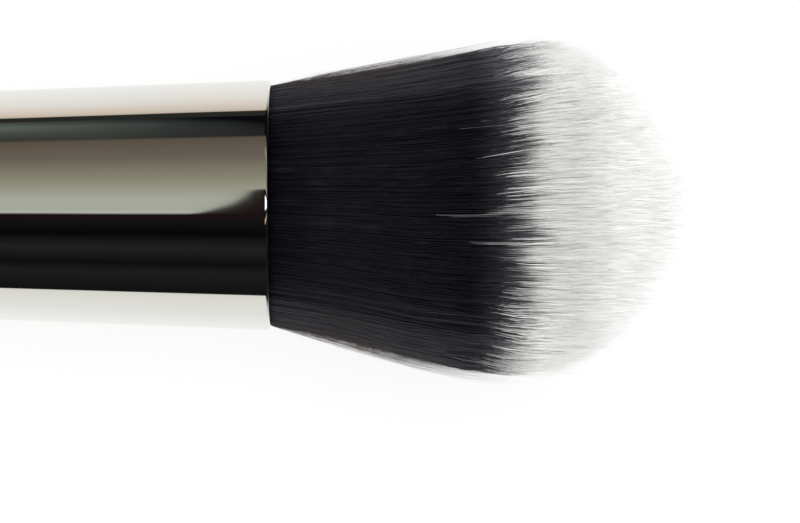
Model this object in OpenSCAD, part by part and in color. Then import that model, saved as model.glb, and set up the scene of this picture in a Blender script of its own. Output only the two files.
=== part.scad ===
// A round foundation brush with two lengths of fibre, lying on its side as it comes to rest.
// Lengths are in millimetres and angles in degrees. Every piece is drawn about the brush's own
// axis, with the ferrule's mouth at height 0, the tuft above it and the handle below, and is
// then laid down so that the tuft and the handle's butt both touch the surface under them.

/* [Tuft] */
// Free length of the long white fibres, from the ferrule's mouth to the top of the dome
tuft_length = 36; // [32:0.5:42]
// Diameter of the tuft at its widest
tuft_diameter = 30; // [26:0.5:34]
// Distance from the ferrule's mouth to the widest place
tuft_belly = 22.5; // [18:0.5:26]
// Free length of the short dark fibres
dark_length = 22.5; // [17:0.5:24]
// How far the points of the dark locks reach past that length, and the notches fall short of it
feather = 2.4; // [1:0.1:3.5]
// Number of locks that the fibres gather into around the tuft
locks = 48; // [24:1:60]
// Depth of the furrow between two locks
furrow = 0.5; // [0.1:0.05:0.9]
// How far the white fibres' ends stand in and out of the dome
raggedness = 0.55; // [0.1:0.05:0.9]
// Diameter of the white core where it passes the ferrule's mouth
core_diameter = 11; // [6:0.5:15]
// Depth of the bowl of dark ends through which the white fibres spread
bowl_depth = 6; // [3:0.5:9]
// Width of the patch that the tuft's own weight presses flat where it lies
rest_width = 8; // [4:0.5:12]

/* [Root] */
// Length of fibre held inside the ferrule
root_depth = 12; // [10:0.5:14]
// Diameter of the fibres' cut ends
root_diameter = 18.8; // [18:0.1:19.2]
// Diameter to which the thread pinches the fibres
tie_diameter = 17.8; // [16.5:0.1:18.2]
// Diameter of the binding thread
thread_diameter = 0.6; // [0.3:0.05:0.7]
// Turns of thread, side by side
thread_turns = 6; // [3:1:8]
// Distance from the ferrule's mouth to the middle of the binding
tie_depth = 8; // [7:0.5:9]
// Distance from the ferrule's mouth down to the front edge of the resin
resin_inset = 3.5; // [2:0.5:4.5]
// Thickness of resin behind the fibres' cut ends
resin_back = 4; // [2:0.5:8]

/* [Ferrule] */
// Outer diameter of the ferrule's mouth
mouth_diameter = 22; // [21.6:0.1:24]
// Length of the ferrule
ferrule_length = 44; // [40:1:52]
// Angle between the ferrule's side and its axis
taper = 2.2; // [1:0.1:2.4]
// Thickness of the drawn sheet metal
wall = 0.4; // [0.3:0.05:0.5]
// Thickness of the rolled rim at the mouth
rim = 0.6; // [0.55:0.05:0.8]
// Number of crimped grooves that lock the ferrule to the handle
crimps = 2; // [1:1:3]
// Depth of a crimped groove
crimp_depth = 0.5; // [0.2:0.05:0.8]
// Width of a crimped groove
crimp_width = 2.4; // [1.6:0.1:3]
// Distance between two crimped grooves
crimp_pitch = 4; // [3.2:0.1:5]
// Distance from the ferrule's rear edge to the middle of the nearest groove
crimp_inset = 3.6; // [2.4:0.1:4.5]

/* [Handle] */
// Length of handle that shows behind the ferrule
handle_length = 100; // [80:1:130]
// Height of the handle's shoulder above the ferrule's rear edge
shoulder_step = 0.3; // [0.1:0.05:0.6]
// Fullness of the grip behind the shoulder, on the radius
swell = 0.4; // [0:0.1:1]
// Diameter of the handle's rounded butt
butt_diameter = 9; // [7:0.5:11]
// Length of the tenon inside the ferrule
tenon_length = 16; // [14:0.5:18]
// Chamfer on the tenon's front edge
tenon_chamfer = 1; // [0.4:0.1:1.6]
// Thickness of the glue between tenon and ferrule
glue_line = 0.15; // [0.1:0.01:0.2]

/* [Hidden] */

$fn = 96;
// Clearance around the fibres where they pass through rigid pieces
fit = 0.05;

// Ferrule
mouth_r = mouth_diameter / 2;
flare = tan(taper);
crimp_span = (crimps - 1) * crimp_pitch;
crimp_heights = [for (k = [0:crimps - 1]) -ferrule_length + crimp_inset + k * crimp_pitch];
function dip(h) = abs(h) < crimp_width / 2 ? crimp_depth * (1 + cos(360 * h / crimp_width)) / 2 : 0;
function crimp_at(z) = max([for (c = crimp_heights) dip(z - c)]);
function ferrule_r(z) = mouth_r + (z + rim / 2) * flare - crimp_at(z);
function bore_r(z) = ferrule_r(z) - wall;

// Heights at which the crimped stretch is drawn, closely spaced over the grooves
crimp_step = crimp_width / 12;
crimp_low = -ferrule_length + crimp_inset - crimp_width / 2;
crimp_high = crimp_low + crimp_span + crimp_width;
crimp_stations = [for (z = [crimp_low:crimp_step:crimp_high + crimp_step / 2]) z];

// Tuft
lock_columns = 2 * locks;
tuft_r = tuft_diameter / 2;
neck_r = mouth_r - rim - fit;
dome_length = tuft_length - tuft_belly;
flare_power = 1.3;
dome_power = 0.75;
function flared_r(z) = tuft_r - (tuft_r - neck_r) * pow(1 - z / tuft_belly, flare_power);
function domed_r(z) = tuft_r * pow(max(0, 1 - pow((z - tuft_belly) / dome_length, 2)), dome_power);
function tuft_profile(z) = z < tuft_belly ? flared_r(max(0, z)) : domed_r(z);

// Binding
tie_r = tie_diameter / 2;
root_r = root_diameter / 2;
thread_pitch = 0.85 * thread_diameter;
tie_half = ((thread_turns - 1) * thread_pitch + thread_diameter) / 2 + fit;

// Handle
tenon_top = tenon_length - ferrule_length;
shoulder_r = ferrule_r(-ferrule_length) + shoulder_step;
butt_r = butt_diameter / 2;
butt_height = -(ferrule_length + handle_length - butt_r);
grip_curve = [
    [shoulder_r, -ferrule_length],
    [shoulder_r + swell, -ferrule_length - 0.3 * handle_length],
    [butt_r, -ferrule_length - 0.6 * handle_length],
    [butt_r, butt_height]
];
grip_steps = 36;
function bezier(p, t) =
    pow(1 - t, 3) * p[0] + 3 * t * pow(1 - t, 2) * p[1] + 3 * t * t * (1 - t) * p[2] + pow(t, 3) * p[3];
grip_side = [for (k = [grip_steps:-1:1]) bezier(grip_curve, k / grip_steps)];

// How the brush lies: the tuft's pressed patch is on the surface, and the handle has tipped down
// until the butt's ball, or else a fuller place on the grip or the ferrule's mouth, touches it too
press = tuft_r - sqrt(pow(tuft_r, 2) - pow(rest_width / 2, 2));
function tilt_onto(r, z, ball) =
    let (span = [tuft_belly - z, tuft_r - r])
    atan(span[1] / span[0]) - asin((press + ball) / norm(span));
tilt = min(concat(
    [tilt_onto(0, butt_height, butt_r), tilt_onto(mouth_r, 0, 0)],
    [for (p = grip_side) tilt_onto(p[0], p[1], 0)]
));
axis_height = tuft_r * cos(tilt) - tuft_belly * sin(tilt) - press;
tip_x = max([for (z = [tuft_belly:0.1:tuft_length]) z * cos(tilt) + domed_r(z) * sin(tilt)]);
butt_x = butt_height * cos(tilt) - butt_r;
middle_x = (tip_x + butt_x) / 2;

module laid_down() {
    translate([-middle_x, 0, axis_height]) rotate([0, 90 - tilt, 0]) children();
}

// The handle: one turned and lacquered piece, with a grooved tenon that the ferrule grips.
shoulder_round = 0.8;
function tenon_r(z) = bore_r(z) - glue_line;

module handle() {
    tenon_side = [
        for (z = crimp_stations) [tenon_r(z), z],
        [tenon_r(tenon_top - tenon_chamfer), tenon_top - tenon_chamfer],
        [tenon_r(tenon_top) - tenon_chamfer, tenon_top]
    ];
    shoulder = [
        for (a = [0:15:90])
            [shoulder_r - shoulder_round * (1 - cos(a)), -ferrule_length - shoulder_round * (1 - sin(a))]
    ];
    color([0.03, 0.03, 0.035]) laid_down() {
        rotate_extrude() polygon(concat(
            [[0, butt_height]],
            grip_side,
            shoulder,
            [[tenon_r(-ferrule_length), -ferrule_length]],
            tenon_side,
            [[0, tenon_top]]
        ));
        translate([0, 0, butt_height]) sphere(butt_r);
    }
}

// The ferrule: one drawn and plated tube, rolled in at the mouth and crimped near the handle.
module ferrule() {
    outer = [
        [ferrule_r(-ferrule_length), -ferrule_length],
        for (z = crimp_stations) [ferrule_r(z), z],
        [ferrule_r(-rim / 2), -rim / 2]
    ];
    inner = [
        [bore_r(-rim / 2), -rim / 2],
        for (k = [len(crimp_stations) - 1:-1:0]) [bore_r(crimp_stations[k]), crimp_stations[k]],
        [bore_r(-ferrule_length), -ferrule_length]
    ];
    color([0.86, 0.87, 0.88]) laid_down() rotate_extrude() {
        polygon(concat(outer, inner));
        translate([mouth_r - rim / 2, -rim / 2]) circle(rim / 2);
    }
}

// The glue that fills the gap between the tenon and the ferrule.
module handle_glue() {
    top = tenon_top - tenon_chamfer;
    outer = [
        [bore_r(-ferrule_length), -ferrule_length],
        for (z = crimp_stations) [bore_r(z), z],
        [bore_r(top), top]
    ];
    inner = [
        [tenon_r(top), top],
        for (k = [len(crimp_stations) - 1:-1:0]) [tenon_r(crimp_stations[k]), crimp_stations[k]],
        [tenon_r(-ferrule_length), -ferrule_length]
    ];
    color([0.85, 0.8, 0.6]) laid_down() rotate_extrude() polygon(concat(outer, inner));
}

// The resin cast around and behind the tied fibres, which holds them in the ferrule.
module resin_plug() {
    back = -root_depth - resin_back;
    binding_r = tie_r + thread_diameter + 2 * fit;
    color([0.75, 0.62, 0.35]) laid_down() rotate_extrude() polygon([
        [0, back],
        [bore_r(back), back],
        [bore_r(-resin_inset), -resin_inset],
        [bore_r(-resin_inset) - fit, -resin_inset],
        [binding_r, -tie_depth + tie_half],
        [binding_r, -tie_depth - tie_half],
        [max(binding_r, root_r + fit), -root_depth],
        [0, -root_depth]
    ]);
}

// The thread wound round the fibres to hold the bundle together before it is cast in.
module root_thread() {
    first = -tie_depth - (thread_turns - 1) / 2 * thread_pitch;
    color([0.8, 0.78, 0.72]) laid_down() rotate_extrude()
        for (k = [0:thread_turns - 1])
            translate([tie_r + fit + thread_diameter / 2, first + k * thread_pitch])
                circle(thread_diameter / 2);
}

// Fibres. Both kinds are skins drawn as rings of points, two columns to a lock: an even column
// runs along a lock's crest and an odd one along the furrow beside it.
function column_angle(i) = 360 * i / lock_columns;
lock_seed = 11;
unevenness = rands(0.35, 1, lock_columns, lock_seed);
function is_crest(i) = i % 2 == 0;
crown = [for (i = [0:lock_columns - 1]) dark_length + (is_crest(i) ? 1 : -1) * feather * unevenness[i]];

// The patch pressed flat is where the round tuft would reach below the surface it lies on, and
// the furrows close up there.
function surface_r(i, z) =
    let (down = cos(column_angle(i)) * cos(tilt))
    down > 0.1 ? (axis_height + z * sin(tilt)) / down : 2 * tuft_r;
function furrow_at(i, z) = is_crest(i) ? 0 : furrow * unevenness[i] * min(1, z / dark_length);
function free_r(i, z) =
    let (r = tuft_profile(z), s = surface_r(i, z))
    r > s ? s : r - furrow_at(i, z) * min(1, r / neck_r);

function place(i, r, z) = [r * cos(column_angle(i)), r * sin(column_angle(i)), z];
function ring(r, z) = [for (i = [0:lock_columns - 1]) place(i, r, z)];

// Rings of the dark sleeve inside the ferrule, from the cut ends up to the mouth
held_rings = [
    ring(root_r, -root_depth),
    ring(tie_r, -tie_depth - tie_half),
    ring(tie_r, -tie_depth + tie_half),
    ring(min(neck_r, bore_r(-resin_inset) - 2 * fit), -resin_inset),
    ring(neck_r, 0)
];

// Rings of the dark sleeve's free side, the last of them along the ragged crown
side_steps = 7;
function side_ring(t) = [for (i = [0:lock_columns - 1]) place(i, free_r(i, t * crown[i]), t * crown[i])];
side_rings = [for (k = [1:side_steps]) side_ring(k / side_steps)];

// Rings of the face that the two kinds share, from the bowl under the crown down to the cut ends
bowl_height = dark_length - bowl_depth;
core_r = core_diameter / 2;
function core_at(z) = core_r * tuft_profile(z) / neck_r;
function bowl_point(i, t) =
    let (low = core_at(bowl_height), high = free_r(i, crown[i]))
    place(i, low + (high - low) * t, bowl_height + (crown[i] - bowl_height) * pow(t, 1.5));
function bowl_ring(t) = [for (i = [0:lock_columns - 1]) bowl_point(i, t)];
shared_rings = [
    bowl_ring(0.7),
    bowl_ring(0.4),
    ring(core_at(bowl_height), bowl_height),
    ring(core_at(bowl_height / 2), bowl_height / 2),
    ring(core_r, 0),
    ring(core_r * tie_r / neck_r, -tie_depth),
    ring(core_r * tie_r / neck_r, -root_depth)
];

// Rings of the white dome, from just above the crown to just below the tip
dome_steps = 13;
function ragged(i, k) = (is_crest(i) ? 1 : -1) * raggedness * unevenness[(7 * i + 5 * k) % lock_columns];
function dome_point(i, k) =
    let (
        even = crown[i] + (tuft_length - crown[i]) * sin(90 * k / dome_steps),
        r = free_r(i, even),
        z = min(tuft_length, even + ragged(i, k) * r / tuft_r)
    )
    place(i, min(r, surface_r(i, z)), z);
dome_rings = [for (k = [dome_steps - 1:-1:1]) [for (i = [0:lock_columns - 1]) dome_point(i, k)]];

// Triangles between ring a and ring b, whose outer side is outwards where b is above a
function band(a, b) = [
    for (i = [0:lock_columns - 1])
        let (j = (i + 1) % lock_columns, p = a * lock_columns, q = b * lock_columns)
        each [[p + i, q + i, q + j], [p + i, q + j, p + j]]
];
function turned(faces) = [for (f = faces) [f[0], f[2], f[1]]];
function flat_list(rings) = [for (r = rings) each r];

module dark_fibres() {
    rings = concat(held_rings, side_rings, shared_rings);
    color([0.06, 0.06, 0.08]) laid_down() polyhedron(
        points = flat_list(rings),
        faces = [for (k = [0:len(rings) - 1]) each band(k, (k + 1) % len(rings))]
    );
}

module white_fibres() {
    rings = concat(dome_rings, [side_rings[side_steps - 1]], shared_rings);
    foot = len(rings) * lock_columns;
    tip = foot + 1;
    last = foot - lock_columns;
    next = [for (i = [0:lock_columns - 1]) (i + 1) % lock_columns];
    color([0.93, 0.93, 0.91]) laid_down() polyhedron(
        points = concat(flat_list(rings), [[0, 0, -root_depth], [0, 0, tuft_length]]),
        faces = concat(
            [for (i = [0:lock_columns - 1]) [next[i], i, tip]],
            turned([for (k = [0:len(rings) - 2]) each band(k, k + 1)]),
            [for (i = [0:lock_columns - 1]) [last + i, last + next[i], foot]]
        )
    );
}

handle();
ferrule();
handle_glue();
resin_plug();
root_thread();
dark_fibres();
white_fibres();
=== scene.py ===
"""The looks of a round foundation brush with two lengths of fibre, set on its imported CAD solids.

The sections follow the brush as it is put together: handle, ferrule, what is hidden in the
ferrule, the short dark fibres, the long white ones. After them come the surface it lies on, the
light and the camera. Sizes are in millimetres about the brush's own axis: 'along' is measured
from the ferrule's mouth towards the tip, 'down' and 'across' at right angles to it.
"""

import math

import bpy
import numpy as np
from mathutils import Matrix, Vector


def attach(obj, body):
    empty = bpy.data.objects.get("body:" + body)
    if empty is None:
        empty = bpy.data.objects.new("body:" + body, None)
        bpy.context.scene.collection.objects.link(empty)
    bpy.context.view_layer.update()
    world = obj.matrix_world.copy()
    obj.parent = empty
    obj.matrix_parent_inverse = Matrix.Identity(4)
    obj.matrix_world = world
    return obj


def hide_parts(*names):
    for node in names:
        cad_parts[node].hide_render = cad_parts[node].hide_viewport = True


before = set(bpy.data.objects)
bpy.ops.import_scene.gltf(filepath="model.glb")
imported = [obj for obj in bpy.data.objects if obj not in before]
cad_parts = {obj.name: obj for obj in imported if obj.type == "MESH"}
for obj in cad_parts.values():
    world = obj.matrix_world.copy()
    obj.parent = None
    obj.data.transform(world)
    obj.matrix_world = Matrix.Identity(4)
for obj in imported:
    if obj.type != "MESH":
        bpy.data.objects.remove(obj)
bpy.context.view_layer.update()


# --- Handle -----------------------------------------------------------------------------------
# Turned from one piece of hardwood, sanded, and dipped in black lacquer. The front is cut down
# to a tenon, which the ferrule is glued and crimped onto. It lies with its butt on the surface.

# How the brush lies: it rests on the ball of its butt and on the tuft's widest place, BELLY mm
# past the ferrule's mouth, where the fibres are pressed in to a patch REST_WIDTH across.
BUTT_RADIUS = 4.5
BUTT_ALONG = -139.5
TUFT_RADIUS = 15.0
BELLY = 22.5
REST_WIDTH = 8.0
PRESSED = TUFT_RADIUS - math.sqrt(TUFT_RADIUS**2 - (REST_WIDTH / 2) ** 2)
REACH = BELLY - BUTT_ALONG
TILT = math.atan(TUFT_RADIUS / REACH) - math.asin(
    (PRESSED + BUTT_RADIUS) / math.hypot(REACH, TUFT_RADIUS)
)
AXIS_HEIGHT = TUFT_RADIUS * math.cos(TILT) - BELLY * math.sin(TILT) - PRESSED
MOUTH_X = 53.903


def laid_down(down, across, along):
    """Places about the brush's axis, in mm, as places in the frame, in metres. The axis passes
    over MOUTH_X at AXIS_HEIGHT and rises by TILT towards the tip:
    x = MOUTH_X + along cos TILT + down sin TILT,  z = AXIS_HEIGHT + along sin TILT - down cos TILT.
    """
    x = MOUTH_X + along * math.cos(TILT) + down * math.sin(TILT)
    z = AXIS_HEIGHT + along * math.sin(TILT) - down * math.cos(TILT)
    return np.stack(np.broadcast_arrays(x, across, z), axis=-1) / 1000


def put_mesh(name, points, quads, triangles):
    """A smooth-shaded mesh from whole arrays of points, four-cornered and three-cornered faces."""
    mesh = bpy.data.meshes.new(name)
    corners = np.concatenate([quads.ravel(), triangles.ravel()]).astype(np.int32)
    sides = np.repeat([4, 3], [len(quads), len(triangles)])
    starts = np.concatenate([[0], np.cumsum(sides)[:-1]]).astype(np.int32)
    mesh.vertices.add(len(points))
    mesh.vertices.foreach_set("co", points.astype(np.float32).ravel())
    mesh.loops.add(len(corners))
    mesh.loops.foreach_set("vertex_index", corners)
    mesh.polygons.add(len(sides))
    mesh.polygons.foreach_set("loop_start", starts)
    mesh.polygons.foreach_set("use_smooth", np.ones(len(sides), dtype=bool))
    mesh.update(calc_edges=True)
    mesh.validate()
    piece = bpy.data.objects.new(name, mesh)
    bpy.context.scene.collection.objects.link(piece)
    return piece


def turned(name, profile, columns, closed):
    """A surface of revolution about the brush's axis. Row k, column j is the profile's point k
    turned by 2 pi j / columns. A closed profile joins its last row to its first. An open one
    starts and ends on the axis, and its two ends are single points with a fan of triangles."""
    angle = 2 * np.pi * np.arange(columns) / columns
    body = profile if closed else profile[1:-1]
    rows = len(body)
    grid = laid_down(
        body[:, :1] * np.cos(angle),
        body[:, :1] * np.sin(angle),
        np.repeat(body[:, 1:], columns, axis=1),
    ).reshape(-1, 3)
    near = np.arange(columns)
    beside = (near + 1) % columns
    low = np.arange(rows if closed else rows - 1)[:, None] * columns
    high = (low + columns) % (rows * columns)
    quads = np.stack([low + near, low + beside, high + beside, high + near], axis=-1).reshape(-1, 4)
    if closed:
        return put_mesh(name, grid, quads, np.empty((0, 3), dtype=int))
    first, last = rows * columns, rows * columns + 1
    last_row = first - columns
    ends = laid_down(np.zeros(2), np.zeros(2), profile[[0, -1], 1])
    fans = np.concatenate(
        [
            np.stack([np.full(columns, first), beside, near], axis=-1),
            np.stack([np.full(columns, last), last_row + near, last_row + beside], axis=-1),
        ]
    )
    return put_mesh(name, np.concatenate([grid, ends]), quads, fans)


def colour(code):
    """An sRGB hex code as linear red, green, blue and alpha: each channel c becomes
    ((c + 0.055) / 1.055) ** 2.4, or c / 12.92 where c is at most 0.04045."""
    parts = [int(code[k : k + 2], 16) / 255 for k in (1, 3, 5)]
    return (*[c / 12.92 if c <= 0.04045 else ((c + 0.055) / 1.055) ** 2.4 for c in parts], 1.0)


def add_node(tree, kind, inputs=None, **settings):
    """Adds one node, sets its settings, and fills or links its inputs by name or number."""
    made = tree.nodes.new(kind)
    for key, value in settings.items():
        setattr(made, key, value)
    for key, value in (inputs or {}).items():
        if isinstance(value, bpy.types.NodeSocket):
            tree.links.new(value, made.inputs[key])
        else:
            made.inputs[key].default_value = value
    return made


def new_material(name, **sockets):
    """A material with one Principled shader, whose constant values are set on its own sockets."""
    material = bpy.data.materials.new(name)
    material.use_nodes = True
    shader = material.node_tree.nodes["Principled BSDF"]
    for key, value in sockets.items():
        shader.inputs[key.replace("_", " ")].default_value = value
    return material, material.node_tree, shader


# The ferrule's own lengths stand here because the handle's tenon follows it from inside: a cone
# that TAPER narrows towards the rear, with a rolled rim RIM thick and two crimped grooves.
MOUTH_RADIUS = 11.0
RIM = 0.6
WALL = 0.4
TAPER = math.tan(math.radians(2.2))
FERRULE_LENGTH = 44.0
CRIMPS = (-40.4, -36.4)
CRIMP_DEPTH = 0.5
CRIMP_WIDTH = 2.4
GLUE = 0.15
SHOULDER_STEP = 0.3
SHOULDER_ROUND = 0.8
TENON_END = -28.0
TENON_BEVEL = 1.0


def ferrule_radius(along):
    """The ferrule's outer radius: a cone that loses TAPER mm for each mm back from the mouth, less
    a raised-cosine groove, depth (1 + cos(2 pi h / width)) / 2, at each crimp."""
    radius = MOUTH_RADIUS + (along + RIM / 2) * TAPER
    for place in CRIMPS:
        off = np.abs(along - place)
        groove = CRIMP_DEPTH * (1 + np.cos(2 * np.pi * off / CRIMP_WIDTH)) / 2
        radius = radius - np.where(off < CRIMP_WIDTH / 2, groove, 0)
    return radius


def handle_profile():
    """From the butt's pole to the tenon's end: a quarter circle, the grip as the cubic Bezier
    curve (1 - t) ** 3 a + 3 t (1 - t) ** 2 b + 3 t ** 2 (1 - t) c + t ** 3 d, a quarter circle
    at the shoulder, and the grooved tenon, which leaves the glue its thickness."""
    shoulder = ferrule_radius(np.array(-FERRULE_LENGTH)) + SHOULDER_STEP
    turn = np.linspace(0, np.pi / 2, 24)
    butt = np.stack([BUTT_RADIUS * np.sin(turn), BUTT_ALONG - BUTT_RADIUS * np.cos(turn)], axis=-1)
    stations = np.array(
        [
            [BUTT_RADIUS, BUTT_ALONG],
            [BUTT_RADIUS, -FERRULE_LENGTH - 60],
            [shoulder + 0.4, -FERRULE_LENGTH - 30],
            [shoulder, -FERRULE_LENGTH],
        ]
    )
    t = np.linspace(0, 1, 130)[1:-2, None]
    grip = (
        (1 - t) ** 3 * stations[0]
        + 3 * t * (1 - t) ** 2 * stations[1]
        + 3 * t**2 * (1 - t) * stations[2]
        + t**3 * stations[3]
    )
    grip = grip[grip[:, 1] < -FERRULE_LENGTH - SHOULDER_ROUND - 0.1]
    turn = np.linspace(0, np.pi / 2, 8)
    round_over = np.stack(
        [
            shoulder - SHOULDER_ROUND * (1 - np.cos(turn)),
            -FERRULE_LENGTH - SHOULDER_ROUND * (1 - np.sin(turn)),
        ],
        axis=-1,
    )
    grooved = np.linspace(-FERRULE_LENGTH, -34, 60)
    along = np.concatenate([grooved, [TENON_END - TENON_BEVEL]])
    tenon = np.stack([ferrule_radius(along) - WALL - GLUE, along], axis=-1)
    end = np.array([[tenon[-1, 0] - TENON_BEVEL, TENON_END], [0, TENON_END]])
    return np.concatenate([butt, grip, round_over, tenon, end])


handle = turned("handle_turned", handle_profile(), 128, closed=False)

# Black nitrocellulose lacquer over sealed wood: a dark body under a clear, level gloss, which
# shows soft lamp shapes with a faint waviness about 3 mm across where the dip flowed out.
lacquer, tree, shader = new_material(
    "black_lacquer_on_wood",
    Roughness=0.16,
    IOR=1.5,
    Coat_Weight=1.0,
    Coat_Roughness=0.03,
    Coat_IOR=1.52,
)
place = add_node(tree, "ShaderNodeTexCoord")
depth = add_node(
    tree, "ShaderNodeTexNoise", {"Vector": place.outputs["Object"], "Scale": 90.0, "Detail": 3.0}
)
body = add_node(
    tree,
    "ShaderNodeMix",
    {0: depth.outputs["Fac"], 6: colour("#0b0b0d"), 7: colour("#151417")},
    data_type="RGBA",
)
tree.links.new(body.outputs[2], shader.inputs["Base Color"])
flow = add_node(
    tree, "ShaderNodeTexNoise", {"Vector": place.outputs["Object"], "Scale": 330.0, "Detail": 1.0}
)
waves = add_node(
    tree, "ShaderNodeBump", {"Height": flow.outputs["Fac"], "Strength": 0.25, "Distance": 0.00001}
)
tree.links.new(waves.outputs["Normal"], shader.inputs["Coat Normal"])
handle.data.materials.append(lacquer)
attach(handle, "root")
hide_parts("handle")


# --- Ferrule ----------------------------------------------------------------------------------
# Drawn from thin brass sheet into a tube that widens towards its mouth, rolled in at the rim,
# polished and chrome plated. Two grooves near its rear edge are crimped into the tenon.


def ferrule_profile():
    """One closed loop: up the outer wall, round a rim of radius RIM / 2 by 250 degrees to where it
    meets the bore, down the inner wall, and round the cut rear edge. The rows lie closest on the
    stretch with the two grooves."""
    rear_along = [-FERRULE_LENGTH + 0.1, -43]
    crimped = np.linspace(-42, -34.8, 60)
    plain = np.linspace(-33, -0.36, 40)
    outer_along = np.concatenate([rear_along, crimped, plain, [-0.31]])
    outer = np.stack([ferrule_radius(outer_along), outer_along], axis=-1)
    turn = np.radians(np.linspace(0, 250, 26))[1:]
    centre = MOUTH_RADIUS - RIM / 2
    rim = np.stack([centre + RIM / 2 * np.cos(turn), -RIM / 2 + RIM / 2 * np.sin(turn)], axis=-1)
    bore_along = [-0.7, -10.0, -20.0, -33.0]
    inner_along = np.concatenate([bore_along, crimped[::-2], rear_along[::-1]])
    inner = np.stack([ferrule_radius(inner_along) - WALL, inner_along], axis=-1)
    rear = ferrule_radius(np.array(-FERRULE_LENGTH))
    blunted = 0.08
    cut = np.array([[rear - WALL + blunted, -FERRULE_LENGTH], [rear - blunted, -FERRULE_LENGTH]])
    return np.concatenate([outer, rim, inner, cut])


ferrule = turned("ferrule_drawn", ferrule_profile(), 256, closed=True)

# Bright chrome over nickel on polished brass: a mirror with a faint blur, polishing lines too
# fine to see one by one that run round the tube, and slow waves of a few mm left by the drawing.
chrome, tree, shader = new_material("chrome_plate_on_drawn_brass", Metallic=1.0)
place = add_node(tree, "ShaderNodeTexCoord")
tint = add_node(
    tree, "ShaderNodeTexNoise", {"Vector": place.outputs["Object"], "Scale": 60.0, "Detail": 2.0}
)
plate = add_node(
    tree,
    "ShaderNodeMix",
    {0: tint.outputs["Fac"], 6: colour("#e9e9e8"), 7: colour("#eeeeee")},
    data_type="RGBA",
)
tree.links.new(plate.outputs[2], shader.inputs["Base Color"])
round_it = add_node(
    tree, "ShaderNodeMapping", {"Vector": place.outputs["Object"], "Scale": (9000.0, 160.0, 160.0)}
)
lines = add_node(
    tree, "ShaderNodeTexNoise", {"Vector": round_it.outputs["Vector"], "Scale": 1.0, "Detail": 2.0}
)
blur = add_node(
    tree,
    "ShaderNodeMapRange",
    {"Value": lines.outputs["Fac"], "To Min": 0.015, "To Max": 0.035},
)
tree.links.new(blur.outputs["Result"], shader.inputs["Roughness"])
draw = add_node(
    tree, "ShaderNodeTexNoise", {"Vector": place.outputs["Object"], "Scale": 150.0, "Detail": 0.0}
)
waves = add_node(
    tree, "ShaderNodeBump", {"Height": draw.outputs["Fac"], "Strength": 0.3, "Distance": 0.00003}
)
tree.links.new(waves.outputs["Normal"], shader.inputs["Normal"])
ferrule.data.materials.append(chrome)
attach(ferrule, "root")
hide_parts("ferrule")


# --- Inside the ferrule -----------------------------------------------------------------------
# Two-part epoxy is poured round the tied roots and sets as an amber plug; a thinner epoxy holds
# the tenon; the roots are tied with waxed polyester thread. All three stay as their CAD solids.


def cast_epoxy(name, pale, deep):
    """Cured epoxy: clear yellow to amber, glossy, cloudy over a few mm where air was stirred in."""
    material, tree, shader = new_material(name, Roughness=0.22, IOR=1.55)
    place = add_node(tree, "ShaderNodeTexCoord")
    cloud = add_node(
        tree,
        "ShaderNodeTexNoise",
        {"Vector": place.outputs["Object"], "Scale": 350.0, "Detail": 4.0},
    )
    mixed = add_node(
        tree,
        "ShaderNodeMix",
        {0: cloud.outputs["Fac"], 6: colour(pale), 7: colour(deep)},
        data_type="RGBA",
    )
    tree.links.new(mixed.outputs[2], shader.inputs["Base Color"])
    return material


# Twisted thread: the ply shows as fine slanting stripes 0.3 mm apart, matt from the wax.
waxed_thread, tree, shader = new_material("waxed_polyester_thread", Roughness=0.7, IOR=1.5)
place = add_node(tree, "ShaderNodeTexCoord")
ply = add_node(
    tree,
    "ShaderNodeTexWave",
    {"Vector": place.outputs["Object"], "Scale": 520.0, "Distortion": 1.5, "Detail": 1.0},
    bands_direction="DIAGONAL",
)
twist = add_node(
    tree,
    "ShaderNodeMix",
    {0: ply.outputs["Fac"], 6: colour("#cdc6b4"), 7: colour("#e6e1d3")},
    data_type="RGBA",
)
tree.links.new(twist.outputs[2], shader.inputs["Base Color"])

hidden = {
    "resin_plug": cast_epoxy("amber_epoxy_casting", "#c39a55", "#a5742c"),
    "handle_glue": cast_epoxy("clear_epoxy_glue", "#dcd2aa", "#c9b983"),
    "root_thread": waxed_thread,
}
for name, material in hidden.items():
    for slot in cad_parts[name].material_slots:
        slot.material = material


# --- Dark fibres ------------------------------------------------------------------------------
# Solid-dyed PBT filament, 0.1 mm thick, cut blunt at the root and tapered at the tip. The short
# ones fill the tuft around the white ones; they gather into locks and end in a ragged edge.

TUFT_LENGTH = 36.0
DOME = TUFT_LENGTH - BELLY
NECK = MOUTH_RADIUS - RIM - 0.05
DARK_REACH = 23.95
# Places in the tuft are places in a disc of radius 1. Squares of it with side LOCK gather into
# one lock, and squares with side GROUP hold locks of about one length. Each has its own seed.
LOCK, LOCK_SEED = 0.045, 5
GROUP, GROUP_SEED = 0.11, 6


def tuft_radius(along):
    """The tuft's open form, before the fibres' ends round it off: it flares from the mouth as
    R - (R - neck) (1 - s / belly) ** 1.3 and runs straight on from its widest place."""
    short = np.clip(1 - along / BELLY, 0, 1)
    return TUFT_RADIUS - (TUFT_RADIUS - NECK) * short**1.3


def dome_end(share):
    """How far along the dome lies at a share of the full radius. It is the dome's outline,
    share = (1 - u ** 2) ** 0.75, solved for u: belly + dome sqrt(1 - share ** (4 / 3))."""
    return BELLY + DOME * np.sqrt(np.clip(1 - share ** (4 / 3), 0, 1))


def scattered(random, count, inner, outer):
    """Places in a ring of the unit disc, evenly spread: radius sqrt(u), angle 2 pi v."""
    share = np.sqrt(random.uniform(inner**2, outer**2, count))
    angle = random.uniform(0, 2 * np.pi, count)
    return np.stack([share * np.cos(angle), share * np.sin(angle)], axis=-1)


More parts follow.
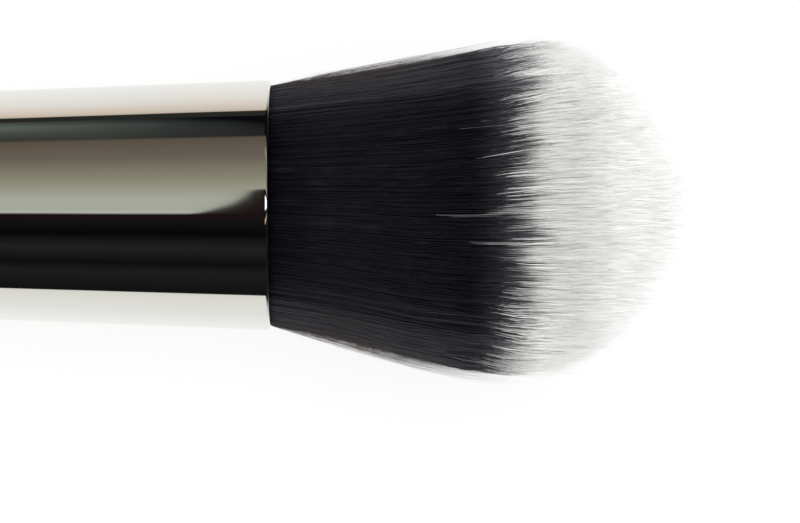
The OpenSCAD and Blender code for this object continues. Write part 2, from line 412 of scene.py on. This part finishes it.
def lock_of(places, size, seed):
    """The lock each fibre falls into: the disc is cut into squares of the given side, and each
    square has its own middle, moved by up to 0.4 of a square, and three random numbers."""
    half = 64
    cell = np.floor(places / size).astype(int)
    squares = np.random.default_rng(seed).uniform(0, 1, (2 * half, 2 * half, 5))
    drawn = squares[cell[:, 0] + half, cell[:, 1] + half]
    middle = (cell + 0.5 + 0.8 * (drawn[:, :2] - 0.5)) * size
    return middle, drawn[:, 2:]


def lock_lengths(places, fine, coarse):
    """How far each fibre's lock reaches past the mean: up to half of fine for its small lock and
    half of coarse for the group of locks 1.6 mm across that it is in."""
    small = lock_of(places, LOCK, LOCK_SEED)[1]
    group = lock_of(places, GROUP, GROUP_SEED)[1]
    return fine * (small[:, 2] - 0.5) + coarse * (group[:, 2] - 0.5)


def sag(along):
    """How far the tuft sags to its -Y side, in mm, which is most at 15.5 mm along:
    0.58 exp(-((s - 15.5) / 6.5) ** 2 / 2) - 0.03."""
    return 0.58 * np.exp(-(((along - 15.5) / 6.5) ** 2) / 2) - 0.03


def tube_faces(count, rows):
    """The faces of many tubes, each with its points as rings of three and then its tip: quads
    between the rings, three triangles to the tip, and one that closes the root."""
    base = np.arange(count)[:, None, None] * (3 * rows + 1)
    near, beside = np.arange(3), (np.arange(3) + 1) % 3
    row = 3 * np.arange(rows - 1)[:, None]
    sides = np.stack([row + near, row + beside, row + 3 + beside, row + 3 + near], axis=-1)
    last = 3 * (rows - 1)
    point = np.stack([last + near, last + beside, np.full(3, 3 * rows)], axis=-1)
    ends = np.concatenate([point, [[2, 1, 0]]])
    return (base + sides.reshape(1, -1, 4)).reshape(-1, 4), (base + ends[None]).reshape(-1, 3)


# The part of the fibre map's v that the fibres' own tones take, how far fibres stay above the
# surface, how thick a layer they make on it, and over how much of a mm they bend up to it.
OWN_TONES = 0.4
CLEARANCE = 0.06
LAYER = 0.35
EASE = 0.06


def fibres(name, random, places, start, end, width, rows, spread, pull, stray, slip=0.0):
    """Thin tapering tubes with three sides. A fibre at place q of the unit disc runs from start to
    end along the tuft, in rows that lie closer together towards its tip. At share t of its length
    its centre is
    tuft_radius(s) * spread(s) * (q + (lock - q) * p * t ** 3) + stray * t ** 2 * lean + wave,
    with p up to pull and a wave 0.07 mm high and 14 mm long. In spread, s is off by the slip times
    0.6 of a number of the fibre's own and up to 1.1 by its lock, and near the -Y side up to 2.3
    times as much. A fibre that would reach the surface lies in a layer just above it. The ring's
    radius is half the width, shrinking as 1 - 0.92 t ** 3, and the tip is one point."""
    count = len(places)
    middle, luck = lock_of(places, LOCK, LOCK_SEED)
    t = np.linspace(0, 1, rows + 1)[None, :] ** 0.85
    along = start[:, None] + (end - start)[:, None] * t
    draw = pull * (0.3 + 0.7 * luck[:, :1]) * t**3
    lean = random.normal(0, 1, (count, 1, 2)) * stray
    phase = random.uniform(0, 2 * np.pi, (count, 1, 2))
    wave = 0.07 * np.sin(phase + along[..., None] * 0.45)
    share = places[:, None, :] + (middle - places)[:, None, :] * draw[..., None]
    late = 0.6 * random.normal(0, 1, (count, 1)) + 2.2 * (luck[:, :1] - 0.5)
    late = late * slip * (1 + np.clip(-6 * places[:, 1:] - 4.1, 0, 1.3))
    centre = share * (tuft_radius(along) * spread(along + late))[..., None]
    centre = centre + lean * (t**2)[..., None] + wave * np.minimum(1, along / 4)[..., None]
    radius = width[:, None] / 2 * (1 - 0.92 * t**3)
    turn = random.uniform(0, 2 * np.pi, (count, 1, 1)) + 2 * np.pi * np.arange(3) / 3
    down = centre[..., :1] + radius[..., None] * np.cos(turn)
    across = centre[..., 1:] - sag(along)[..., None] + radius[..., None] * np.sin(turn)
    surface = (AXIS_HEIGHT + along * math.sin(TILT)) / math.cos(TILT) - CLEARANCE
    layer = surface - random.uniform(0, LAYER, (count, 1)) - width[:, None]
    over = np.maximum(0, down - layer[..., None])
    down = np.minimum(down - over * over / (EASE + over), surface[..., None])
    ring = laid_down(down[:, :-1], across[:, :-1], np.repeat(along[:, :-1, None], 3, axis=2))
    tip = laid_down(down[:, -1, 0], across[:, -1, 0], along[:, -1])
    points = np.concatenate([ring.reshape(count, -1, 3), tip[:, None]], axis=1)
    piece = put_mesh(name, points.reshape(-1, 3), *tube_faces(count, rows))
    # The fibre map, which the materials read: u is how far along the tuft a point is. v is the
    # fibre's own tone up to OWN_TONES, and above that how near it is to the tuft's two sides, which
    # the materials paint paler as painted side light.
    tone = np.clip(0.5 + 0.25 * (luck[:, 1] - 0.5) + random.normal(0, 0.16, count), 0, 1)
    painted_side_light = np.clip(2 * np.abs(places[:, 1]) - 1, 0, 1)
    tone = OWN_TONES * tone + (1 - OWN_TONES) * painted_side_light
    reach = np.concatenate([np.repeat(along[:, :-1], 3, axis=1), along[:, -1:]], axis=1)
    corner = np.empty(len(piece.data.loops), dtype=np.int32)
    piece.data.loops.foreach_get("vertex_index", corner)
    marks = np.stack(
        [(reach / TUFT_LENGTH).ravel()[corner], tone[corner // (3 * rows + 1)]], axis=-1
    )
    piece.data.uv_layers.new(name="fibre").uv.foreach_set("vector", np.clip(marks, 0, 1).ravel())
    return piece


def set_ramp(node, low, high, stops):
    """Sets a colour ramp's stops from places between low and high and hex colours."""
    ramp = node.color_ramp
    while len(ramp.elements) > 1:
        ramp.elements.remove(ramp.elements[-1])
    for k, (place, code) in enumerate(stops):
        share = (place - low) / (high - low)
        element = ramp.elements[0] if k == 0 else ramp.elements.new(share)
        element.position = share
        element.color = colour(code)


# In the fibre map's u: up to where fibres lie among others, and from where they stand clear.
COVERED, CLEAR = 18.2 / TUFT_LENGTH, 23.4 / TUFT_LENGTH


def filament(name, roughness, reach, low, high, painted_fleck, painted_fleck_share, buried_shade=0.0):
    """Extruded PBT filament, dyed or left white. The fibre map's v picks a shade from a ramp: the
    fibres' own tones up to OWN_TONES, then paler ones at the two sides, painted light for the light
    that shines through there. Over the given reach along the tuft, in mm, the low ramp gives way to
    the high one by a smooth step. The buried share darkens fibres with painted shade as far as
    COVERED, where they lie among others, and it is gone at CLEAR. The fleck colour and share give
    marks where fibres cross or part, painted shade on the white fibres and painted sheen on the
    dark."""
    material, tree, shader = new_material(name, Roughness=roughness, IOR=1.52)
    fibre = add_node(tree, "ShaderNodeUVMap", uv_map="fibre")
    parts = add_node(tree, "ShaderNodeSeparateXYZ", {"Vector": fibre.outputs["UV"]})
    rise = add_node(
        tree,
        "ShaderNodeMapRange",
        {
            "Value": parts.outputs["X"],
            "From Min": reach[0] / TUFT_LENGTH,
            "From Max": reach[1] / TUFT_LENGTH,
        },
        interpolation_type="SMOOTHSTEP",
    )
    ramps = [add_node(tree, "ShaderNodeValToRGB", {"Fac": parts.outputs["Y"]}) for _ in (low, high)]
    for ramp, shades in zip(ramps, (low, high)):
        set_ramp(ramp, 0, 1, zip((0, OWN_TONES, 1), shades))
    mixed = add_node(
        tree,
        "ShaderNodeMix",
        {0: rise.outputs["Result"], 6: ramps[0].outputs["Color"], 7: ramps[1].outputs["Color"]},
        data_type="RGBA",
    )
    # Painted shade: between COVERED and CLEAR, fibres that lie among others are darkened towards
    # near black by the buried share.
    depth = add_node(
        tree,
        "ShaderNodeMapRange",
        {
            "Value": parts.outputs["X"],
            "From Min": COVERED,
            "From Max": CLEAR,
            "To Min": buried_shade,
            "To Max": 0.0,
        },
    )
    mixed = add_node(
        tree,
        "ShaderNodeMix",
        {0: depth.outputs["Result"], 6: mixed.outputs[2], 7: colour("#141417")},
        data_type="RGBA",
    )
    # Flecks 2.4 mm long and 0.5 mm wide, where fibres cross or part: painted shade on the white
    # fibres and painted sheen on the dark. The real ones are as fine as a fibre, 0.1 mm, which is
    # too fine to show, so they are drawn coarse enough to be seen.
    place = add_node(tree, "ShaderNodeTexCoord")
    drawn_out = add_node(
        tree,
        "ShaderNodeMapping",
        {"Vector": place.outputs["Object"], "Scale": (420.0, 1900.0, 1900.0)},
    )
    painted_flecks = add_node(
        tree,
        "ShaderNodeTexNoise",
        {"Vector": drawn_out.outputs["Vector"], "Scale": 1.0, "Detail": 2.0},
    )
    strength = add_node(
        tree,
        "ShaderNodeMapRange",
        {
            "Value": painted_flecks.outputs["Fac"],
            "From Min": 0.54,
            "From Max": 0.74,
            "To Min": 0.0,
            "To Max": painted_fleck_share,
        },
    )
    mixed = add_node(
        tree,
        "ShaderNodeMix",
        {0: strength.outputs["Result"], 6: mixed.outputs[2], 7: colour(painted_fleck)},
        data_type="RGBA",
    )
    tree.links.new(mixed.outputs[2], shader.inputs["Base Color"])
    return material


def from_mouth(along):
    """The dark fibres' share of the tuft's radius: the whole neck at the mouth, and 0.97 further
    on, as 0.97 + 0.03 exp(-s / 2), less a shallow waist of 0.01 at 8 mm along."""
    waist = 0.01 * np.exp(-(((along - 8) / 5) ** 2))
    return 0.97 + 0.03 * np.exp(-np.maximum(along, 0) / 2) - waist


def dark_reach(places):
    """How far the short fibres reach on the whole: to DARK_REACH in the middle, more or less by
    straight lines between a few places across the tuft, and least near its -Y side."""
    across = (-0.98, -0.85, -0.7, -0.5, -0.3, 0.0, 0.3, 0.8, 0.95)
    more = (-2.4, -2.6, -0.2, -0.9, -0.4, 0.0, -0.3, -0.4, 0.45)
    return DARK_REACH + np.interp(places[:, 1], across, more)


random = np.random.default_rng(20)
# The dark fibres' paler sides, the last shade of each ramp, are painted side light. The high ramp's
# paler shades towards the tips are painted sheen, and the fleck colour paints sheen too.
dark = filament(
    "solid_dyed_dark_filament",
    roughness=0.42,
    reach=(17, 25),
    low=("#08080b", "#0d0d15", "#45454b"),
    high=("#44444a", "#56565c", "#98989e"),
    painted_fleck="#1e1e25",
    painted_fleck_share=0.5,
)
dark_sockets = dark.node_tree.nodes["Principled BSDF"].inputs
dark_sockets["Specular IOR Level"].default_value = 0.3
dark_sockets["Specular Tint"].default_value = colour("#dfe0ff")

# The outer ones are whole, from 1 mm inside the mouth to their tips.
places = scattered(random, count=8900, inner=0.91, outer=1.0)
count = len(places)
uneven = random.normal(0, 0.35, count) - random.exponential(0.4, count)
end = dark_reach(places) + lock_lengths(places, 2.4, 1.8) + uneven
dark_outer = fibres(
    "dark_fibres_outer",
    random,
    places,
    start=np.full(count, -1.0),
    end=end,
    width=random.uniform(0.09, 0.14, count),
    rows=4,
    spread=from_mouth,
    pull=0.65,
    stray=0.12,
)
dark_outer.data.materials.append(dark)
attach(dark_outer, "root")
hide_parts("dark_fibres")

# Only the ends of the inner ones show, so they are 8 mm long. They stand in a bowl round the
# white core: the nearer a fibre is to the middle, the shorter it is, by up to 5 mm.
places = scattered(random, count=8000, inner=0.0, outer=0.92)
count = len(places)
uneven = random.normal(0, 0.4, count) - 5 * (1 - np.hypot(*places.T))
end = dark_reach(places) + lock_lengths(places, 2.8, 2.4) + uneven
dark_inner = fibres(
    "dark_fibres_inner",
    random,
    places,
    start=end - 8,
    end=end,
    width=random.uniform(0.11, 0.16, count),
    rows=3,
    spread=from_mouth,
    pull=0.65,
    stray=0.12,
)
dark_inner.data.materials.append(dark)
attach(dark_inner, "root")

# Much thinner ones bow out past the mouth and run beside the others, thinning out over about a
# millimetre. Where they stand clear at the two sides they take a paler brown, painted light for the
# light that comes through them, and their flecks are painted sheen.
thin_dark = filament(
    "thin_dyed_filament",
    roughness=0.5,
    reach=(17, 25),
    low=("#08080b", "#0d0d15", "#43372f"),
    high=("#44444a", "#56565c", "#8a7a6a"),
    painted_fleck="#1e1e25",
    painted_fleck_share=0.3,
)
places = scattered(random, count=2700, inner=0.995, outer=1.0)
count = len(places)
off = 0.07 * random.uniform(0, 1, count) ** 1.7 * (1 - 0.12 * places[:, 1])


def beside_the_rest(along):
    """The thin fibres' share of the tuft's radius: that of the others, more by each one's own
    share off, which it reaches as 1 - 0.6 exp(-s / 1.5) past the mouth."""
    reached = 1 - 0.6 * np.exp(-np.maximum(along, 0) / 1.5)
    return from_mouth(along) + off[:, None] * reached


dark_loose = fibres(
    "dark_fibres_loose",
    random,
    places,
    start=np.full(count, 0.1),
    end=random.uniform(12, 23, count),
    width=random.uniform(0.009, 0.013, count),
    rows=4,
    spread=beside_the_rest,
    pull=0.0,
    stray=0.05,
)
dark_loose.data.materials.append(thin_dark)
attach(dark_loose, "root")


DARK_BULK = 0.86


def dark_bulk():
    """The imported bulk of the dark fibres, DARK_BULK of the tuft's radius, closed below the
    bowl of their ends."""
    along = np.linspace(-1, 15, 24)
    side = np.stack([DARK_BULK * tuft_radius(along), along], axis=-1)
    return np.concatenate([[[0, -1.0]], side, [[0.5 * side[-1, 0], 15.6], [0, 15.8]]])


packed = turned("dark_fibres_packed", dark_bulk(), 96, closed=False)
packed_dark, tree, shader = new_material("packed_dark_filament", Roughness=0.6, IOR=1.5)
place = add_node(tree, "ShaderNodeTexCoord")
grain = add_node(
    tree, "ShaderNodeTexNoise", {"Vector": place.outputs["Object"], "Scale": 900.0, "Detail": 2.0}
)
mixed = add_node(
    tree,
    "ShaderNodeMix",
    {0: grain.outputs["Fac"], 6: colour("#0a0a0d"), 7: colour("#141419")},
    data_type="RGBA",
)
tree.links.new(mixed.outputs[2], shader.inputs["Base Color"])
packed.data.materials.append(packed_dark)
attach(packed, "root")


# --- White fibres -----------------------------------------------------------------------------
# Undyed PBT filament, finer than the dark and tapered over its last few millimetres. It runs up
# through the dark fibres, shows from their tips on, and its ends together make the dome.


def from_within(along):
    """The white fibres' share of the tuft's radius: 0.88 under the dark ones, rising to 1 by a
    smooth step from 15 mm to 27 mm along, where they come out between the dark tips."""
    rise = np.clip((along - 15) / 12, 0, 1)
    return 0.88 + 0.12 * rise**2 * (3 - 2 * rise)


def white_ends(random, places):
    """The dome's outline, with each lock up to 0.7 mm off it and each fibre 1 mm more or less: a
    normal number less an exponential one, whose mean of 0.9 mm is given back."""
    slip = random.normal(0, 0.5, len(places)) - random.exponential(0.9, len(places))
    return dome_end(np.hypot(*places.T)) + lock_lengths(places, 1.0, 0.4) + slip + 0.9


# The white fibres' last shade of each ramp is painted side light. The buried share is painted shade
# among the dark fibres, and the fleck colour paints shade where fibres part.
white = filament(
    "undyed_white_filament",
    roughness=0.38,
    reach=(22, 34),
    low=("#d5d6d2", "#e2e3df", "#f2f3f0"),
    high=("#e8e9e5", "#f2f3f0", "#ffffff"),
    painted_fleck="#858683",
    painted_fleck_share=0.5,
    buried_shade=0.9,
)
places = scattered(random, count=12000, inner=0.78, outer=1.0)
count = len(places)
white_outer = fibres(
    "white_fibres_outer",
    random,
    places,
    start=np.full(count, 12.0),
    end=np.maximum(white_ends(random, places), 21.5 + random.uniform(0, 3, count)),
    width=random.uniform(0.07, 0.11, count),
    rows=3,
    spread=from_within,
    pull=0.35,
    stray=0.16,
    slip=1.5,
)
white_outer.data.materials.append(white)
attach(white_outer, "root")
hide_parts("white_fibres")

# Of the inner ones the last 11 mm are enough, because the outer ones hide the rest.
places = scattered(random, count=12000, inner=0.0, outer=0.82)
count = len(places)
end = white_ends(random, places)
white_inner = fibres(
    "white_fibres_inner",
    random,
    places,
    start=end - 11,
    end=end,
    width=random.uniform(0.08, 0.12, count),
    rows=3,
    spread=from_within,
    pull=0.35,
    stray=0.2,
)
white_inner.data.materials.append(white)
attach(white_inner, "root")


# A few slipped through and lie on top of the dark ones: where each starts and ends along the
# tuft, how far across it lies, and how wide it is.
STRAY_RADIUS = 14.4
stray = np.array(
    [
        [14.4, 20.4, -0.40, 0.045],
        [14.8, 20.8, -0.47, 0.04],
        [15.6, 20.2, -0.56, 0.035],
        [17.2, 22.2, -2.86, 0.045],
        [17.5, 22.4, -2.95, 0.04],
        [17.8, 21.8, -3.05, 0.035],
        [16.4, 20.6, 7.20, 0.025],
    ]
)
sideways = stray[:, 2] / STRAY_RADIUS
white_stray = fibres(
    "white_fibres_stray",
    random,
    places=np.stack([-np.sqrt(1 - sideways**2), sideways], axis=-1),
    start=stray[:, 0],
    end=stray[:, 1],
    width=stray[:, 3],
    rows=4,
    spread=lambda along: 0.985,
    pull=0.0,
    stray=0.05,
)
white_stray.data.materials.append(white)
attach(white_stray, "root")


WHITE_BULK = 0.84


def white_bulk():
    """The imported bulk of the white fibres: WHITE_BULK of the tuft's radius, then as much of the
    dome, whose outline is radius cos(a) ** 1.5 at height dome sin(a)."""
    along = np.linspace(13, BELLY, 14)
    side = np.stack([WHITE_BULK * tuft_radius(along), along], axis=-1)
    lift = np.linspace(0, np.pi / 2, 18)[1:-1]
    radius = WHITE_BULK * TUFT_RADIUS * np.cos(lift) ** 1.5
    dome = np.stack([radius, BELLY + WHITE_BULK * DOME * np.sin(lift)], axis=-1)
    return np.concatenate([[[0, 12.5]], side, dome, [[0, BELLY + WHITE_BULK * DOME]]])


white_packed = turned("white_fibres_packed", white_bulk(), 96, closed=False)
packed_white, tree, shader = new_material("packed_white_filament", Roughness=0.6, IOR=1.5)
place = add_node(tree, "ShaderNodeTexCoord")
along_it = add_node(
    tree, "ShaderNodeMapping", {"Vector": place.outputs["Object"], "Scale": (250.0, 6000.0, 6000.0)}
)
grain = add_node(
    tree, "ShaderNodeTexNoise", {"Vector": along_it.outputs["Vector"], "Scale": 1.0, "Detail": 2.0}
)
mixed = add_node(
    tree,
    "ShaderNodeMix",
    {0: grain.outputs["Fac"], 6: colour("#d2d2ce"), 7: colour("#f4f4f1")},
    data_type="RGBA",
)
tree.links.new(mixed.outputs[2], shader.inputs["Base Color"])
white_packed.data.materials.append(packed_white)
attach(white_packed, "root")


# --- Surface, light and camera ----------------------------------------------------------------
# A seamless white sweep under even studio light, seen from straight above the brush. The sweep
# is white to the camera and in reflections, and it keeps the brush's own soft shadow.

# In metres: 3 m square, and 0.02 mm down, so that it clears whatever rests on the surface.
half, top = 1.5, -2e-5
sweep = put_mesh(
    "white_sweep",
    np.array([[-half, -half, top], [half, -half, top], [half, half, top], [-half, half, top]]),
    np.array([[0, 1, 2, 3]]),
    np.empty((0, 3), dtype=int),
)
paper = bpy.data.materials.new("white_paper_sweep")
paper.use_nodes = True
tree = paper.node_tree
tree.nodes.clear()
rays = add_node(tree, "ShaderNodeLightPath")
looked_at = add_node(
    tree,
    "ShaderNodeMath",
    {0: rays.outputs["Is Camera Ray"], 1: rays.outputs["Is Glossy Ray"]},
    operation="MAXIMUM",
)
looked_at = add_node(
    tree,
    "ShaderNodeMath",
    {0: looked_at.outputs[0], 1: rays.outputs["Is Transmission Ray"]},
    operation="MAXIMUM",
)

# The camera sees paper that glows almost to white by itself, and takes the rest from the light
# that falls on it, so that the brush's shadow stays faint. All other light meets plain paper.
lit = add_node(tree, "ShaderNodeBsdfDiffuse", {"Color": colour("#4e5256")})
glow = add_node(tree, "ShaderNodeEmission", {"Color": (1.0, 0.987, 0.97, 1), "Strength": 0.88})
shaded = add_node(tree, "ShaderNodeAddShader", {0: lit.outputs[0], 1: glow.outputs[0]})
plain = add_node(tree, "ShaderNodeBsdfDiffuse", {"Color": colour("#eeeeee")})

# The polished parts see it in bands, by metres across towards +Y, which are dark where its lit
# part ends. The bands fade out from 8 mm past the ferrule's mouth to the tuft's tip.
place = add_node(tree, "ShaderNodeTexCoord")
parts = add_node(tree, "ShaderNodeSeparateXYZ", {"Vector": place.outputs["Object"]})
spot = add_node(
    tree, "ShaderNodeMapRange", {"Value": parts.outputs["Y"], "From Min": -0.5, "From Max": 0.5}
)
fall = add_node(tree, "ShaderNodeValToRGB", {"Fac": spot.outputs["Result"]})
set_ramp(
    fall,
    -0.5,
    0.5,
    [
        (-0.43, "#1a1a1a"),
        (-0.40, "#e0ded4"),
        (-0.11, "#ebeae0"),
        (-0.04, "#f1f0eb"),
        (-0.02, "#fafaf8"),
        (0.02, "#f8f7f3"),
        (0.04, "#f1eee6"),
        (0.07, "#e5d9cc"),
        (0.15, "#cdbeac"),
        (0.17, "#2a2a27"),
    ],
)
lit_to = add_node(
    tree,
    "ShaderNodeMapRange",
    {
        "Value": parts.outputs["X"],
        "From Min": 0.062,
        "From Max": 0.09,
        "To Min": 1.0,
        "To Max": 0.03,
    },
)
mirrored = add_node(
    tree,
    "ShaderNodeEmission",
    {"Color": fall.outputs["Color"], "Strength": lit_to.outputs["Result"]},
)
mixed = add_node(
    tree,
    "ShaderNodeMixShader",
    {0: rays.outputs["Is Camera Ray"], 1: mirrored.outputs[0], 2: shaded.outputs[0]},
)
mixed = add_node(
    tree,
    "ShaderNodeMixShader",
    {0: looked_at.outputs[0], 1: plain.outputs[0], 2: mixed.outputs[0]},
)
add_node(tree, "ShaderNodeOutputMaterial", {"Surface": mixed.outputs[0]})
sweep.data.materials.append(paper)

# What the polished parts see above the sweep, as bands by the angle from straight up towards
# +Y: a black cloth hung on the -Y side, a pale ceiling that dims towards the +Y wall, and a dark
# wall, darker towards the tip. The camera itself shows as a dark patch overhead. Far behind the
# butt stands a tall white softbox. Beyond the tip hangs a small lamp with a dim flap each side.
studio = bpy.data.worlds.new("studio")
bpy.context.scene.world = studio
studio.use_nodes = True
tree = studio.node_tree
tree.nodes.clear()
place = add_node(tree, "ShaderNodeTexCoord")
way = add_node(tree, "ShaderNodeSeparateXYZ", {"Vector": place.outputs["Generated"]})
angle = add_node(
    tree, "ShaderNodeMath", {0: way.outputs["Y"], 1: way.outputs["Z"]}, operation="ARCTAN2"
)
degrees = add_node(
    tree, "ShaderNodeMath", {0: angle.outputs[0], 1: 180 / math.pi}, operation="MULTIPLY"
)
spot = add_node(
    tree, "ShaderNodeMapRange", {"Value": degrees.outputs[0], "From Min": -180.0, "From Max": 180.0}
)
bands = add_node(tree, "ShaderNodeValToRGB", {"Fac": spot.outputs["Result"]})
set_ramp(
    bands,
    -180,
    180,
    [
        (-93.0, "#e8e8e4"),
        (-92.0, "#141314"),
        (-68.0, "#211f20"),
        (-58.0, "#111011"),
        (-42.0, "#252324"),
        (-28.0, "#080808"),
        (-10.6, "#1a1819"),
        (-7.6, "#c3c6ba"),
        (-5.2, "#b2b6a9"),
        (5.0, "#b3b6a9"),
        (23.0, "#95927f"),
        (45.0, "#70685d"),
        (65.0, "#60564a"),
        (67.0, "#3a3b37"),
        (75.0, "#484c48"),
        (84.0, "#626a64"),
        (92.0, "#484c46"),
    ],
)

# Directions: degrees from straight up towards +Y, and the share that points towards the tip. The
# camera's edge on the +Y side lies at 14 degrees, but further towards the butt at -9.
overhead, ahead = degrees.outputs[0], way.outputs["X"]
camera_edge = add_node(
    tree,
    "ShaderNodeMapRange",
    {"Value": ahead, "From Min": -0.180, "From Max": -0.165, "To Min": -9.0, "To Max": 14.0},
    interpolation_type="SMOOTHSTEP",
)
inside_it = add_node(
    tree, "ShaderNodeMath", {0: camera_edge.outputs[0], 1: overhead}, operation="SUBTRACT"
).outputs[0]
past_the_tip = ((ahead, 0.05, 0.30), (ahead, 0.98, 0.92))

# Each thing hung or stood in front of those bands has a colour and its edges: a value, where it
# starts to show, and where it shows fully.
things = {
    "wall_unlit_towards_the_tip": (
        colour("#0c0c0f"),
        ((overhead, 66.0, 67.0), (ahead, -0.150, -0.095)),
    ),
    "camera": (
        colour("#1c1414"),
        ((inside_it, -0.8, 0.8), (overhead, -17.0, -13.0)),
    ),
    "small_lamp": (
        (1.5, 1.5, 1.5, 1.0),
        (*past_the_tip, (overhead, -6.0, -4.0), (overhead, 9.0, 7.0)),
    ),
    "its_near_flap": (
        (0.64, 0.48, 0.39, 1.0),
        (*past_the_tip, (overhead, -19.0, -17.0), (overhead, -12.0, -14.0)),
    ),
    "its_far_flap": (
        (0.46, 0.39, 0.30, 1.0),
        (*past_the_tip, (overhead, 46.0, 48.0), (overhead, 56.0, 54.0)),
    ),
    "softbox_behind_the_butt": (
        colour("#f0f0ee"),
        ((ahead, -0.30, -0.36), (ahead, -0.80, -0.74)),
    ),
}
reflected = bands.outputs["Color"]
for shade, edges in things.values():
    share = 1.0
    for value, outside, inside in edges:
        rise = add_node(
            tree, "ShaderNodeMapRange", {"Value": value, "From Min": outside, "From Max": inside}
        )
        share = add_node(
            tree, "ShaderNodeMath", {0: share, 1: rise.outputs["Result"]}, operation="MULTIPLY"
        ).outputs[0]
    reflected = add_node(
        tree, "ShaderNodeMix", {0: share, 6: reflected, 7: shade}, data_type="RGBA"
    ).outputs[2]

# Only reflections see those bands. Matt surfaces get plain light that is strongest from low down
# all round, and the camera sees white.
rays = add_node(tree, "ShaderNodeLightPath")
upward = add_node(
    tree,
    "ShaderNodeMapRange",
    {"Value": way.outputs["Z"], "From Min": 0.0, "From Max": 0.8, "To Min": 3.3, "To Max": 1.04},
).outputs["Result"]
soft = add_node(tree, "ShaderNodeCombineColor", {"Red": upward, "Green": upward, "Blue": upward})
shown = add_node(
    tree,
    "ShaderNodeMix",
    {0: rays.outputs["Is Glossy Ray"], 6: soft.outputs[0], 7: reflected},
    data_type="RGBA",
)
shown = add_node(
    tree,
    "ShaderNodeMix",
    {0: rays.outputs["Is Camera Ray"], 6: shown.outputs[2], 7: (1.0, 1.0, 1.0, 1.0)},
    data_type="RGBA",
).outputs[2]
light = add_node(tree, "ShaderNodeBackground", {"Color": shown, "Strength": 1.0})
add_node(tree, "ShaderNodeOutputWorld", {"Surface": light.outputs[0]})
studio.cycles.sampling_method = "NONE"

# One large lamp overhead, which gives the fibres and the sweep a soft direction.
lamp = bpy.data.lights.new("overhead_softbox", "AREA")
lamp.shape = "RECTANGLE"
lamp.size, lamp.size_y = 0.5, 0.35
lamp.energy = 3.5
softbox = bpy.data.objects.new("overhead_softbox", lamp)
softbox.location = (0.15, 0.12, 0.70)
softbox.rotation_mode = "QUATERNION"
aim = Vector((0.05, 0, 0))
softbox.rotation_quaternion = (Vector(softbox.location) - aim).to_track_quat("Z", "Y")
softbox.visible_glossy = False
bpy.context.scene.collection.objects.link(softbox)

# The camera looks square onto the brush's axis from DISTANCE. Its picture is PICTURE_WIDTH wide
# there, and its middle is past the ferrule's mouth and to the -Y side of the axis.
DISTANCE = 415.0
PICTURE_WIDTH = 70.42
SENSOR_WIDTH = 36.0
MIDDLE_ALONG, MIDDLE_ACROSS = 11.31, -4.95
lens = bpy.data.cameras.new("camera")
lens.sensor_width = SENSOR_WIDTH
lens.lens = DISTANCE * SENSOR_WIDTH / PICTURE_WIDTH
lens.clip_start, lens.clip_end = 0.01, 20.0
camera = bpy.data.objects.new("camera", lens)
camera.location = Vector(laid_down(-DISTANCE, MIDDLE_ACROSS, MIDDLE_ALONG))
camera.rotation_euler = (0.0, -TILT, 0.0)
bpy.context.scene.collection.objects.link(camera)
bpy.context.scene.camera = camera
bpy.context.scene.view_settings.view_transform = "Standard"
